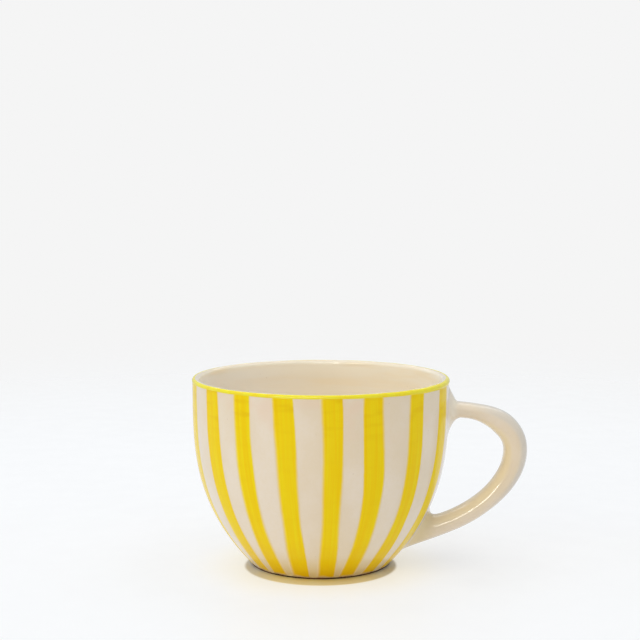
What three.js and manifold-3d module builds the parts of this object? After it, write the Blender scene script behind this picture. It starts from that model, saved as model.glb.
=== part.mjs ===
// A large hand-painted ceramic mug: a round-bellied cup on a turned foot ring, with a loop handle
// luted to its side by two wiped slip joints.
// Millimetres, +Z up. The mug stands on Z = 0 and its handle points along +X.

import * as THREE from 'three';
import { mergeVertices } from 'three/addons/utils/BufferGeometryUtils.js';
import Module from 'manifold-3d';

const wasm = await Module();
wasm.setup();

// Cup: radii are measured from the cup's own axis, heights from the surface it stands on.
const CUP_HEIGHT = 81;
const RIM_RADIUS = 55;
const BELLY_HEIGHT = 72;
const BELLY_POWER = 2.76;
const FOOT_INSET = 25.5;
const LIP_THICKNESS = 3;
const WALL_THICKNESS = 4;
const LIP_TAPER = 24;
const FLOOR_HEIGHT = 5.5;
const FLOOR_RADIUS = 19;
const FLOOR_CURVE_TOP = 12;

// Foot ring: the flat ring that the mug stands on, round the hollow under its floor.
const FOOT_EDGE_ROUND = 0.8;
const FOOT_RING_WIDTH = 4.2;
const FOOT_HOLLOW_DEPTH = 1.8;
const FOOT_HOLLOW_SLOPE = 1.2;

// Handle: a strap of rounded section on a loop in the plane Y = 0, given by its centre line.
const HANDLE_WIDTH = 14;
const HANDLE_THICKNESS_TOP = 6.5;
const HANDLE_THICKNESS_BEND = 9.9;
const HANDLE_THICKNESS_LOWER = 8;
const HANDLE_SQUARENESS = 2.4;
// The shares of its length between which the strap swells to the bend and slims below it.
const HANDLE_SWELLING = [0.04, 0.28];
const HANDLE_SLIMMING = [0.35, 0.85];
const HANDLE_TOP = new THREE.Vector3(61, 0, 66.5);
const HANDLE_TOP_PULL = new THREE.Vector3(72.5, 0, 65.6);
const HANDLE_OUTERMOST = new THREE.Vector3(84, 0, 49);
const HANDLE_OUTERMOST_RISE = 11;
const HANDLE_OUTERMOST_FALL = 13.5;
const HANDLE_BOTTOM_PULL = new THREE.Vector3(70, 0, 23.7);
const HANDLE_BOTTOM = new THREE.Vector3(57, 0, 18.2);

// Slip joints: each spreads from the handle's end to a footprint on the cup's wall. Reaches are
// how far the footprint runs from its middle, pulls are how long the surface keeps its direction
// at the handle and at the wall, and lift is the angle in radians at which it leaves the wall.
// Outer is the side away from the finger gap.
const UPPER_JOINT = {
  height: 66.5,
  outerReach: 10.5,
  innerReach: -13,
  sideReach: 11.5,
  handlePull: { outer: 3, inner: 3.3, side: 3.5 },
  wallPull: { outer: 7.9, inner: 3.5, side: 2.5 },
  lift: { outer: 0.47, inner: 0, side: 0 },
};
const LOWER_JOINT = {
  height: 14,
  outerReach: -9.8,
  innerReach: 11.5,
  sideReach: 12,
  handlePull: { outer: 16, inner: 7, side: 8 },
  wallPull: { outer: 3, inner: 5.5, side: 3 },
  lift: { outer: 0, inner: 0.3, side: 0 },
};

// Separate pieces that touch on the real mug keep this gap.
const JOINT_GAP = 0.3;
// How far a joint is run into the wall before the wall's shape is cut from it.
const JOINT_OVERRUN = 3;

// Smoothness of the round and swept shapes.
const CUP_SEGMENTS = 64;
const WALL_STEPS = 14;
const LIP_STEPS = 6;
const FOOT_EDGE_STEPS = 3;
const FLOOR_CURVE_STEPS = 5;
const HANDLE_SIDES = 20;
const HANDLE_STEPS = 34;
const JOINT_STEPS = 8;

const SIDEWAYS = new THREE.Vector3(0, 1, 0);

const GLAZED_CREAM = { color: 0xe9dfcf, roughness: 0.22, metalness: 0 };
const JOINT_CREAM = { color: 0xe4d8c4, roughness: 0.25, metalness: 0 };

// --- Cup ---------------------------------------------------------------------------------------

// The cup's outer radius at a height: upright at the rim, drawn in ever faster towards the foot.
function outerRadius(height) {
  const below = Math.max(0, 1 - height / BELLY_HEIGHT);
  return RIM_RADIUS - FOOT_INSET * below ** BELLY_POWER;
}

// How fast that radius grows with height.
function outerSlope(height) {
  const below = Math.max(0, 1 - height / BELLY_HEIGHT);
  return (FOOT_INSET * BELLY_POWER / BELLY_HEIGHT) * below ** (BELLY_POWER - 1);
}

// The point of the wall's section that lies a depth inside the outer surface.
function wallPoint(height, depth) {
  const slope = outerSlope(height);
  const length = Math.hypot(1, slope);
  return new THREE.Vector2(outerRadius(height) - depth / length, height + depth * slope / length);
}

// The wall is thinner towards the lip.
function wallThickness(height) {
  const toLip = THREE.MathUtils.smoothstep(height, CUP_HEIGHT - LIP_TAPER, CUP_HEIGHT);
  return THREE.MathUtils.lerp(WALL_THICKNESS, LIP_THICKNESS, toLip);
}

// Even steps from one value to another, both included.
function evenSteps(from, to, steps) {
  return Array.from({ length: steps + 1 }, (_, i) => THREE.MathUtils.lerp(from, to, i / steps));
}

// Points of an arc of the section, from one angle to another in radians.
function arcPoints(centreRadius, centreHeight, radius, startAngle, endAngle, steps) {
  return evenSteps(startAngle, endAngle, steps).map((angle) => new THREE.Vector2(
    centreRadius + radius * Math.cos(angle),
    centreHeight + radius * Math.sin(angle),
  ));
}

// The underside, from the axis out over the foot ring to where the outer wall starts.
function footPoints() {
  const standRadius = outerRadius(FOOT_EDGE_ROUND) - FOOT_EDGE_ROUND;
  const ringInside = standRadius - FOOT_RING_WIDTH;
  return [
    new THREE.Vector2(0, FOOT_HOLLOW_DEPTH),
    new THREE.Vector2(ringInside - FOOT_HOLLOW_SLOPE, FOOT_HOLLOW_DEPTH),
    new THREE.Vector2(ringInside, 0),
    ...arcPoints(standRadius, FOOT_EDGE_ROUND, FOOT_EDGE_ROUND, -Math.PI / 2, 0, FOOT_EDGE_STEPS),
  ];
}

// The rounded lip, from the outer wall over to the inner wall.
function lipPoints() {
  const lipRound = LIP_THICKNESS / 2;
  return arcPoints(RIM_RADIUS - lipRound, CUP_HEIGHT - lipRound, lipRound, 0, Math.PI, LIP_STEPS);
}

// The inside, from just under the lip down the wall and round to the middle of the floor.
function insidePoints() {
  const lipBase = CUP_HEIGHT - LIP_THICKNESS / 2;
  const wall = evenSteps(lipBase, FLOOR_CURVE_TOP, WALL_STEPS)
    .map((height) => wallPoint(height, wallThickness(height)));
  const curveStart = wall[wall.length - 1];
  const fall = curveStart.y - FLOOR_HEIGHT;
  const corner = new THREE.Vector2(curveStart.x - fall * outerSlope(FLOOR_CURVE_TOP), FLOOR_HEIGHT);
  const floorEdge = new THREE.Vector2(FLOOR_RADIUS, FLOOR_HEIGHT);
  const curve = new THREE.QuadraticBezierCurve(curveStart, corner, floorEdge);
  return [
    ...wall.slice(1),
    ...curve.getPoints(FLOOR_CURVE_STEPS).slice(1),
    new THREE.Vector2(0, FLOOR_HEIGHT),
  ];
}

// Turns a section about the vertical axis.
function turned(points) {
  return weld(new THREE.LatheGeometry(points, CUP_SEGMENTS).rotateX(Math.PI / 2));
}

function cupGeometry() {
  const lipBase = CUP_HEIGHT - LIP_THICKNESS / 2;
  const outside = evenSteps(FOOT_EDGE_ROUND, lipBase, WALL_STEPS)
    .map((height) => wallPoint(height, 0));
  return turned([
    ...footPoints(),
    ...outside.slice(1, -1),
    ...lipPoints(),
    ...insidePoints(),
  ]);
}

// A solid that fills the cup's outer shape and the gap round it. The joints are cut to it.
function wallClearanceGeometry() {
  const outside = evenSteps(0, CUP_HEIGHT, WALL_STEPS)
    .map((height) => wallPoint(height, -JOINT_GAP));
  const top = new THREE.Vector2(0, outside[outside.length - 1].y);
  const bottom = new THREE.Vector2(0, outside[0].y);
  return turned([bottom, ...outside, top]);
}

// --- Handle ------------------------------------------------------------------------------------

function handlePath() {
  const { x, z } = HANDLE_OUTERMOST;
  const above = new THREE.Vector3(x, 0, z + HANDLE_OUTERMOST_RISE);
  const below = new THREE.Vector3(x, 0, z - HANDLE_OUTERMOST_FALL);
  const path = new THREE.CurvePath();
  path.add(new THREE.CubicBezierCurve3(HANDLE_TOP, HANDLE_TOP_PULL, above, HANDLE_OUTERMOST));
  path.add(new THREE.CubicBezierCurve3(HANDLE_OUTERMOST, below, HANDLE_BOTTOM_PULL, HANDLE_BOTTOM));
  return path;
}

// The strap is thin where it leaves the top joint, stoutest round the bend, and slimmer below it.
function handleThickness(along) {
  const swelling = THREE.MathUtils.smoothstep(along, ...HANDLE_SWELLING);
  const slimming = THREE.MathUtils.smoothstep(along, ...HANDLE_SLIMMING);
  return HANDLE_THICKNESS_TOP
    + (HANDLE_THICKNESS_BEND - HANDLE_THICKNESS_TOP) * swelling
    - (HANDLE_THICKNESS_BEND - HANDLE_THICKNESS_LOWER) * slimming;
}

// One coordinate of a rounded section of unit half size: a circle pushed towards a square.
function rounded(value) {
  return Math.sign(value) * Math.abs(value) ** (2 / HANDLE_SQUARENESS);
}

// A point of the strap's surface. Angle 0 is its +Y side and a quarter turn is its outer side.
function handlePoint(path, along, angle, spread) {
  const centre = path.getPointAt(along);
  const outwards = path.getTangentAt(along).cross(SIDEWAYS);
  const acrossWidth = rounded(Math.cos(angle)) * spread * HANDLE_WIDTH / 2;
  const acrossThickness = rounded(Math.sin(angle)) * spread * handleThickness(along) / 2;
  return centre
    .addScaledVector(SIDEWAYS, acrossWidth)
    .addScaledVector(outwards, acrossThickness);
}

function handleGeometry(path) {
  return sculptedTube(HANDLE_STEPS, (along, angle, spread) => (
    handlePoint(path, along, angle, spread)
  ));
}

// --- Slip joints -------------------------------------------------------------------------------

// Blends a joint's outer, inner and side values by the direction round the section.
function blended(values, angle) {
  const upOrDown = Math.sin(angle) ** 2;
  const facing = Math.sin(angle) > 0 ? values.outer : values.inner;
  return facing * upOrDown + values.side * (1 - upOrDown);
}

// Where the joint's edge meets the wall, with the wall's outward and footprint's outward
// directions there.
function footprint(joint, angle) {
  const reach = Math.sin(angle) > 0 ? joint.outerReach : -joint.innerReach;
  const height = joint.height + reach * Math.sin(angle);
  const radius = outerRadius(height);
  const azimuth = joint.sideReach * Math.cos(angle) / radius;
  const radial = new THREE.Vector3(Math.cos(azimuth), Math.sin(azimuth), 0);
  const around = new THREE.Vector3(-Math.sin(azimuth), Math.cos(azimuth), 0);
  const slope = outerSlope(height);
  const upWall = new THREE.Vector3(radial.x * slope, radial.y * slope, 1).normalize();
  const wallOut = new THREE.Vector3(radial.x, radial.y, -slope).normalize();
  const edgeOut = upWall.multiplyScalar(Math.sign(reach) * Math.sin(angle))
    .addScaledVector(around, Math.cos(angle))
    .normalize();
  return { edge: radial.multiplyScalar(radius).setZ(height), wallOut, edgeOut };
}

// The line that the joint's surface follows from the handle's end to the wall.
function jointLine(joint, start, towardsCup, angle) {
  const { edge, wallOut, edgeOut } = footprint(joint, angle);
  const wallPull = blended(joint.wallPull, angle);
  const lift = blended(joint.lift, angle);
  const leaving = start.clone().addScaledVector(towardsCup, blended(joint.handlePull, angle));
  const arriving = edge.clone()
    .addScaledVector(edgeOut, -wallPull * Math.cos(lift))
    .addScaledVector(wallOut, wallPull * Math.sin(lift));
  return {
    line: new THREE.CubicBezierCurve3(start, leaving, arriving, edge),
    root: edge.clone().addScaledVector(wallOut, -JOINT_OVERRUN),
  };
}

// A joint on one end of the handle: end 0 is the top one, end 1 the bottom one.
function jointGeometry(joint, path, end, wallClearance) {
  const towardsCup = path.getTangentAt(end).multiplyScalar(end === 0 ? -1 : 1);
  const middle = new THREE.Vector3(
    outerRadius(joint.height) - JOINT_OVERRUN,
    0,
    joint.height,
  );
  const rings = JOINT_STEPS + 1;
  const lastOnWall = JOINT_STEPS / rings;
  const flare = sculptedTube(rings, (along, angle, spread) => {
    const fromHandle = end === 0 ? 1 - along : along;
    const start = handlePoint(path, end, angle, 1).addScaledVector(towardsCup, JOINT_GAP);
    const { line, root } = jointLine(joint, start, towardsCup, angle);
    const onSurface = fromHandle > lastOnWall + Number.EPSILON
      ? root
      : line.getPoint(fromHandle / lastOnWall);
    const startMiddle = handlePoint(path, end, angle, 0).addScaledVector(towardsCup, JOINT_GAP);
    return startMiddle.lerp(middle, fromHandle).lerp(onSurface, spread);
  });
  return cut(flare, wallClearance);
}

// --- Geometry helpers --------------------------------------------------------------------------

// Leaves one vertex at each place, so that a geometry is a single closed skin.
function weld(geometry) {
  geometry.deleteAttribute('normal');
  geometry.deleteAttribute('uv');
  const welded = mergeVertices(geometry);
  welded.computeVertexNormals();
  return welded;
}

// A closed tube whose vertices are placed by their share of its length, their angle round it and
// their share of its radius.
function sculptedTube(steps, place) {
  const tube = new THREE.CylinderGeometry(1, 1, 1, HANDLE_SIDES, steps);
  const { position } = tube.attributes;
  for (let i = 0; i < position.count; i += 1) {
    const x = position.getX(i);
    const z = position.getZ(i);
    const placed = place(0.5 - position.getY(i), Math.atan2(z, x), Math.hypot(x, z));
    position.setXYZ(i, placed.x, placed.y, placed.z);
  }
  return weld(tube);
}

function toSolid(geometry) {
  const bare = geometry.clone();
  bare.deleteAttribute('normal');
  return new wasm.Manifold(new wasm.Mesh({
    numProp: 3,
    vertProperties: new Float32Array(bare.attributes.position.array),
    triVerts: new Uint32Array(bare.index.array),
  }));
}

function cut(geometry, tool) {
  const mesh = toSolid(geometry).subtract(toSolid(tool)).getMesh();
  const result = new THREE.BufferGeometry();
  result.setAttribute('position', new THREE.BufferAttribute(mesh.vertProperties, 3));
  result.setIndex(new THREE.BufferAttribute(mesh.triVerts, 1));
  result.computeVertexNormals();
  return result;
}

function piece(name, geometry, finish) {
  const mesh = new THREE.Mesh(geometry, new THREE.MeshStandardMaterial(finish));
  mesh.name = name;
  return mesh;
}

// --- The mug -----------------------------------------------------------------------------------

const path = handlePath();
const wallClearance = wallClearanceGeometry();

const mug = new THREE.Group();
mug.add(
  piece('cup_body', cupGeometry(), GLAZED_CREAM),
  piece('handle', handleGeometry(path), GLAZED_CREAM),
  piece('upper_slip_joint', jointGeometry(UPPER_JOINT, path, 0, wallClearance), JOINT_CREAM),
  piece('lower_slip_joint', jointGeometry(LOWER_JOINT, path, 1, wallClearance), JOINT_CREAM),
);

// The origin is under the middle of the whole mug, so the cup's axis stands a little to its -X side.
const box = new THREE.Box3().setFromObject(mug);
mug.position.x = -(box.min.x + box.max.x) / 2;

const part = new THREE.Group();
part.add(mug);

export default part;
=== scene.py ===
"""A hand-painted ceramic mug standing on a pale table in soft studio light.

Metres, +Z up. The cup is turned about a vertical axis. Its handle is a pulled strap that is
luted to the wall by two wiped joints. The yellow lines are a film of brushed colour on the wall
and the lip, and the foot ring is bare clay.
"""

import math
from collections import namedtuple

import bpy
import numpy as np
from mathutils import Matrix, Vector, noise


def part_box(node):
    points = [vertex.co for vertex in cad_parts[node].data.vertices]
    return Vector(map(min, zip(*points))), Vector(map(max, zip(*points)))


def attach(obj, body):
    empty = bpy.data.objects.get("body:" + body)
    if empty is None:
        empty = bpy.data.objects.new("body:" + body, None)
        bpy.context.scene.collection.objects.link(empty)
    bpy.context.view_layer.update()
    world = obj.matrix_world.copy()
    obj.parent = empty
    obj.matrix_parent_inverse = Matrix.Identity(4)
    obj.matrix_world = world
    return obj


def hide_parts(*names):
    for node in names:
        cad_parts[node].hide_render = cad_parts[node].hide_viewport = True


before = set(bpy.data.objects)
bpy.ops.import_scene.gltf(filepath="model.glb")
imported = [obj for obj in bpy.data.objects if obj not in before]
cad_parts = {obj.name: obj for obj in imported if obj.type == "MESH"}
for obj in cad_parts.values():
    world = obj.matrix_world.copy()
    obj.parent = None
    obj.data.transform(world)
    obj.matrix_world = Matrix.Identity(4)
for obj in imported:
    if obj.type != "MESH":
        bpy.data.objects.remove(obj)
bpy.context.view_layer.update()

MM = 0.001

# Cup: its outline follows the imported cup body, at finer steps.
CUP_LOW, CUP_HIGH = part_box("cup_body")
CUP_AXIS_X = (CUP_LOW.x + CUP_HIGH.x) / 2
RIM_RADIUS = (CUP_HIGH.x - CUP_LOW.x) / 2
CUP_HEIGHT = CUP_HIGH.z
BELLY_HEIGHT = 72 * MM
BELLY_POWER = 2.76
FOOT_INSET = 25.5 * MM
LIP_THICKNESS = 3 * MM
WALL_THICKNESS = 4 * MM
LIP_TAPER = 24 * MM
FLOOR_HEIGHT = 5.5 * MM
FLOOR_RADIUS = 19 * MM
FLOOR_CURVE_TOP = 12 * MM
FOOT_EDGE_ROUND = 0.8 * MM
FOOT_RING_WIDTH = 4.2 * MM
FOOT_HOLLOW_DEPTH = 1.8 * MM
FOOT_HOLLOW_SLOPE = 1.2 * MM
# The thrown wall strays this far from its turned shape, slowly round the cup and up it.
UNEVENNESS = 0.12 * MM
UNEVENNESS_TURNS = 1.6
UNEVENNESS_HEIGHT = 34 * MM
# Levels of the noise round the cup: they only keep its uses apart.
CLAY_LEVEL = 1.3
RIM_LINE_SLOW_LEVEL = 4.2
RIM_LINE_FINE_LEVEL = 7.7

# Foot clay: it stands this much proud of the glaze's end and is rooted this deep. Its upper edge
# lies at an angle on the foot's rounding, more or less ragged, in degrees.
CLAY_FILM = 0.06 * MM
CLAY_ROOT = 3 * CLAY_FILM
CLAY_OVERLAP = 0.05 * MM
CLAY_EDGE = -6
CLAY_RAGGEDNESS = 9
CLAY_TURNS = 6

# Handle and joints, from the cup's axis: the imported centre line, with a slightly thicker strap and
# joints that spread further round the wall.
HANDLE_WIDTH = 14 * MM
HANDLE_THICKNESS_TOP = 6.5 * MM
HANDLE_THICKNESS_BEND = 10.2 * MM
HANDLE_THICKNESS_LOWER = 8.15 * MM
HANDLE_SQUARENESS = 2.4
HANDLE_SWELLING = (0.04, 0.28)
HANDLE_SLIMMING = (0.35, 0.85)
HANDLE_TOP = (61 * MM, 0, 66.5 * MM)
HANDLE_TOP_PULL = (72.5 * MM, 0, 65.6 * MM)
HANDLE_OUTERMOST = (84 * MM, 0, 49 * MM)
HANDLE_OUTERMOST_RISE = 11 * MM
HANDLE_OUTERMOST_FALL = 13.5 * MM
HANDLE_BOTTOM_PULL = (70 * MM, 0, 23.7 * MM)
HANDLE_BOTTOM = (57 * MM, 0, 18.2 * MM)

# A joint's footprint on the wall, and how long its surface keeps its direction at the handle and
# at the wall, which it leaves at an angle of lift, in radians. Outer is the side away from the
# finger gap.
Sides = namedtuple("Sides", "outer inner side")
Joint = namedtuple("Joint", "height outer_reach inner_reach side_reach handle_pull wall_pull lift")
UPPER_JOINT = Joint(
    height=66.5 * MM,
    outer_reach=10.5 * MM,
    inner_reach=-13 * MM,
    side_reach=13.5 * MM,
    handle_pull=Sides(3 * MM, 3.3 * MM, 3.5 * MM),
    wall_pull=Sides(7.9 * MM, 3.5 * MM, 6.5 * MM),
    lift=Sides(0.47, 0, 0),
)
LOWER_JOINT = Joint(
    height=14 * MM,
    outer_reach=-9.8 * MM,
    inner_reach=11.5 * MM,
    side_reach=13.5 * MM,
    handle_pull=Sides(16 * MM, 7 * MM, 8 * MM),
    wall_pull=Sides(3 * MM, 5.5 * MM, 7 * MM),
    lift=Sides(0, 0.3, 0),
)
# A joint's curve starts this far from the strap's end. Its edge sinks into the wall and is rooted
# under it, and its shading turns to the wall's own over the last of its height above the wall.
JOINT_START = 0.3 * MM
JOINT_SINK = 0.03 * MM
JOINT_ROOT = 1.5 * MM
JOINT_BLEND = 0.4 * MM
# The plugs that close a tube's ends inside its neighbours.
PLUG_SHARE = 0.9
PLUG_DEPTH = 0.8 * MM

# Glaze on the handle and joints, with painted light and shade: painted shade on the lower joint,
# painted light over the upper one, painted warm light on the strap's inner side and painted grey
# shade on its outer side. The pairs are shares of the way along a piece, or of a section's
# thickness, between which a tone comes or goes.
JOINT_SHADE_RISE = (0.2, 0.7)
JOINT_SHADE_FALL = (0.8, 1)
JOINT_SHADE_LOSS = 0.6
JOINT_LIGHT_RISE = (0, 0.4)
JOINT_LIGHT_FALL = (0.4, 1)
JOINT_LIGHT_MOST = 0.5
HANDLE_TONES_RISE = (0, 0.2)
HANDLE_TONES_FALL = (0.55, 0.85)
WARM_FROM = 0.15
WARM_SPREAD = 0.55
WARM_JOINT_FADE = (0, 0.9)
COOL_SPREAD = (0.1, 0.5)

# Stripes: the azimuth of the middle at the rim, shoulder, belly and foot, and the width at the
# rim and the foot, in degrees. Azimuth 0 faces -Y and 90 faces the handle.
Stripe = namedtuple("Stripe", "rim shoulder belly foot rim_width foot_width")
STRIPES = [
    Stripe(-75.5, -74.8, -73.4, -72.0, 11.4, 14.4),
    Stripe(-54.1, -53.0, -51.5, -50.3, 9.8, 13.5),
    Stripe(-35.5, -34.6, -33.3, -32.9, 9.1, 12.9),
    Stripe(-16.2, -14.8, -14.1, -14.8, 9.6, 13.5),
    Stripe(4.4, 5.0, 4.8, 4.1, 9.3, 13.1),
    Stripe(22.6, 23.2, 23.4, 21.6, 9.9, 12.3),
    Stripe(45.2, 44.4, 43.5, 40.9, 9.4, 12.9),
    Stripe(68.7, 67.0, 64.8, 63.4, 11.0, 17.8),
    Stripe(110.5, 112.0, 113.6, 116.0, 8.9, 11.4),
    Stripe(133.8, 134.4, 134.1, 135.6, 8.7, 12.8),
    Stripe(156.2, 155.3, 155.9, 156.4, 9.3, 13.1),
    Stripe(177.4, 178.2, 178.6, 177.5, 9.0, 12.6),
    Stripe(198.9, 198.1, 199.0, 200.2, 8.8, 13.3),
    Stripe(219.6, 220.5, 220.1, 219.2, 9.4, 12.7),
    Stripe(240.8, 240.1, 241.4, 242.3, 8.9, 12.9),
    Stripe(261.2, 261.9, 261.0, 262.2, 9.2, 12.1),
]
# The heights of those four azimuths, the film's two ends, and where its width changes.
STRIPE_KNOTS = [79 * MM, 57 * MM, 31.6 * MM, 8 * MM]
STRIPE_TOP = 80 * MM
STRIPE_BOTTOM = 0.7 * MM
STRIPE_WIDENING = (30 * MM, -2 * MM)
# How far the brush's edges stray, slowly and finely, and the thin paint beyond them.
STRIPE_WAVER = 0.22 * MM
STRIPE_SLOW_LENGTH = 17 * MM
STRIPE_FINE_LENGTH = 4 * MM
STRIPE_FINE_SHARE = 0.35
STRIPE_FRINGE = 0.37 * MM
# These only keep the stripes, and their two edges, apart in the noise.
STRIPE_NOISE_STEP = 7.3
SIDE_NOISE_STEP = 2.9
FINE_NOISE_LEVEL = 5
BRUSH_STEP = 0.1
# A film stands proud of the wall, dips into it at its edges and has its underside in the wall.
FILM_LIFT = 0.05 * MM
FILM_ROOT = 0.1 * MM
FILM_DEPTH = 3 * FILM_ROOT
FILM_EDGE = 0.3 * MM
FILM_NARROWING = 0.98
# The underside's points across the stripe, from its right edge to its left one.
FILM_UNDERSIDE = (1, 0, -1)

# Rim line: the angles on the lip's rounding between which it is painted, in degrees, and how far
# slow and fine noise shifts them. The bead is its thickness.
RIM_LINE_FROM = -4
RIM_LINE_TO = 81
RIM_LINE_WAVER = 7
RIM_LINE_FROM_FINE = 3
RIM_LINE_TO_FINE = 6
RIM_LINE_SLOW_TURNS = 3.1
RIM_LINE_FINE_TURNS = 9
RIM_LINE_BEAD = 0.24 * MM
RIM_LINE_SWELLING = 0.25
RIM_LINE_ROUNDNESS = 0.6
RIM_LINE_STEPS = 12
RIM_LINE_UNDERSIDE = (0.7, 0.3)
# The brush was fuller by the handle: the line reaches lower there, and further over the lip.
RIM_LINE_FULLEST = 80
RIM_LINE_FULL_SPAN = 75
RIM_LINE_FULL_DROP = 30
RIM_LINE_FULL_RISE = 10
RIM_LINE_FULL_BEAD = 0.3

# Painted light: inside the lip the glaze is painted paler, at these depths below its crest.
PAINTED_LIGHT_LIP = (0, 0.8 * MM)
PAINTED_LIGHT_FADE = (2 * MM, 9 * MM)
PAINTED_LIGHT_LOSS = 0.4
# Inside, the glaze is painted a little greyer on one side of the cup, as a painted reflection, and
# warmer on the other, as painted warm light.
INSIDE_DEPTH = (1 * MM, 4 * MM)
GREY_SIDE = (-0.1, 0.9)
GREY_SHARE = 0.6
WARM_SIDE = (-0.4, 0.6)
WARM_SHARE = 0.25

# Smoothness.
CUP_SEGMENTS = 288
WALL_STEPS = 70
LIP_STEPS = 14
FLOOR_CURVE_STEPS = 18
FLOOR_STEPS = 11
FOOT_HOLLOW_STEPS = 13
FOOT_RING_STEPS = 5
FOOT_EDGE_STEPS = 6
CLAY_EDGE_STEPS = 5
CLAY_BACK_STEPS = 2
STRAP_SIDES = 96
STRAP_STEPS = 220
CENTRE_LINE_SAMPLES = 2000
JOINT_STEPS = 44
STRIPE_ROWS = 110
STRIPE_COLUMNS = 24

# Colours of the glaze, the paint, the clay and the open table, and how strongly the glaze's
# mottling and the lower joint's painted shade show.
CREAM = (0.77, 0.635, 0.465, 1)
CREAM_THIN = (0.80, 0.68, 0.54, 1)
# A darker, yellower glaze: pooled in the mottling, painted shade on the lower joint, and used
# towards the foot.
CREAM_POOLED_AND_SHADED = (0.72, 0.565, 0.28, 1)
# Painted light: the paler glaze inside the cup and over the upper joint.
CREAM_PAINTED_LIGHT = (0.92, 0.83, 0.67, 1)
CREAM_SMEARED = (0.86, 0.68, 0.42, 1)
# Painted warm light: inside the cup on one side, on the strap's inner side and on the lower joint.
CREAM_PAINTED_WARM_LIGHT = (0.87, 0.74, 0.51, 1)
# Painted reflection: the greyer glaze on one side inside the cup.
CREAM_PAINTED_REFLECTION = (0.89, 0.84, 0.78, 1)
CREAM_BLUSH = (0.79, 0.59, 0.42, 1)
# Painted grey shade and reflection on the strap's outer side.
CREAM_PAINTED_GREY_SHADE = (0.68, 0.60, 0.50, 1)
SPECK = (0.42, 0.29, 0.16, 1)
YELLOW = (0.86, 0.572, 0.001, 1)
YELLOW_THIN = (0.862, 0.65, 0.006, 1)
YELLOW_POOLED = (0.77, 0.47, 0.001, 1)
# Partly painted light: the rim line's yellow is lighter where the lip catches the light.
RIM_YELLOW_AND_LIGHT = (0.84, 0.73, 0.02, 1)
# Bare clay painted very dark: painted shade in the gap under the foot.
CLAY_PAINTED_SHADE = (0.13, 0.035, 0.008, 1)
CLAY_DARK_PAINTED_SHADE = (0.04, 0.014, 0.005, 1)
TABLE_GREY = (0.30, 0.30, 0.30, 1)
TABLE_GREY_LIGHT = (0.32, 0.32, 0.32, 1)
MOTTLING = 0.10
JOINT_SHADE_SHARE = 0.7

# Depths of relief that only shading shows.
GLAZE_WAVE_DEPTH = 0.06 * MM
GLAZE_PEEL_DEPTH = 0.002 * MM
STREAK_DEPTH = 0.012 * MM
CLAY_GRAIN_DEPTH = 0.05 * MM
TABLE_CLOUD_DEPTH = 0.001 * MM

# How the surfaces shine.
CREAM_IOR = 1.5
CREAM_SHEEN = 0.2
CREAM_SHEEN_ROUGHNESS = 0.42
CREAM_SHEEN_TINT = (0.80, 0.90, 1, 1)
YELLOW_SPECULAR = 0.1
RIM_IOR = 1.45
CLAY_SPECULAR = 0.2
TABLE_IOR = 1.2

# Table: it glows with painted light, which stops at the painted shade round the foot, whose middle
# lies a little nearer to the camera than the cup's. Radii and places are from there.
TABLE_HALF = 1.6
SHADE_SHIFT = 6.8 * MM
SHADE_EDGE = (31.6 * MM, 33.6 * MM)
SHADE_GLOW_EDGE = (31.6 * MM, 33.4 * MM)
SHADE_GLOW = 0.06
SHADE_YELLOW = (0.84, 0.66, 0.12, 1)
SHADE_PALE = (0.84, 0.72, 0.38, 1)
SHADE_PALING = (22 * MM, 30 * MM)
SHADE_GREY = (0.66, 0.63, 0.56, 1)
SHADE_GREYING = (17 * MM, 32 * MM)
HALO_EDGE = (33 * MM, 60 * MM)
HALO_LIGHT = (1, 0.965, 0.87, 1)
TABLE_LIGHT = (0.98, 0.985, 1, 1)
TABLE_GLOW_EDGE = (34 * MM, 75 * MM)
TABLE_GLOW = (0.63, 0.585)
HANDLE_SHADE_PLACE = (42 * MM, 10 * MM, 0)
HANDLE_SHADE_EDGE = (6 * MM, 34 * MM)
HANDLE_SHADE = 0.91
TABLE_FADE = (0.9, 0.25)

# Camera: at the photo's viewing angle, looking slightly down along +Y.
CAMERA_LENS = 84.9
CAMERA_SENSOR = 36
CAMERA_NEAREST = 0.01
CAMERA_PLACE = (CUP_AXIS_X - 0.29 * MM, -0.6429, 0.1718)
CAMERA_TILT = 5.906

# Lights: broad boxes that only fill, and strips that are only seen mirrored in the glaze.
MUG_MIDDLE = (CUP_AXIS_X, 0, CUP_HEIGHT / 2)
Softbox = namedtuple("Softbox", "name location target width height power colour mirrored")
SOFTBOXES = [
    Softbox("overhead", (0, 0.1, 1.3), (0, 0, 0), 1.6, 1.4, 9.4, (1, 1, 1), False),
    Softbox("window", (-1.3, -0.2, 0.7), MUG_MIDDLE, 0.9, 0.9, 4.7, (0.51, 0.71, 1), False),
    Softbox("front_fill", (-0.9, -1.35, 0.8), MUG_MIDDLE, 1.0, 0.6, 5.7, (1, 0.885, 0.735), False),
    Softbox("right_fill", (1.3, -0.4, 0.5), MUG_MIDDLE, 0.8, 0.8, 0.9, (0.5, 0.75, 1), False),
    Softbox("front_strip", (-0.55, -1.5, 0.8), MUG_MIDDLE, 1.5, 0.05, 22, (1, 0.95, 0.85), True),
    Softbox("back_strip", (0.1, 1.2, 0.9), MUG_MIDDLE, 1.4, 0.12, 1.8, (0.97, 0.98, 1), True),
]
STUDIO_LIGHT = (0.585, 0.61, 0.62, 1)
STUDIO_SEEN = (0.913, 0.913, 0.913, 1)


# --- Outline of the cup --------------------------------------------------------------------------


def outer_radius(height):
    below = np.maximum(0, 1 - np.asarray(height) / BELLY_HEIGHT)
    return RIM_RADIUS - FOOT_INSET * below**BELLY_POWER


def outer_slope(height):
    below = np.maximum(0, 1 - np.asarray(height) / BELLY_HEIGHT)
    return FOOT_INSET * BELLY_POWER / BELLY_HEIGHT * below ** (BELLY_POWER - 1)


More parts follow.
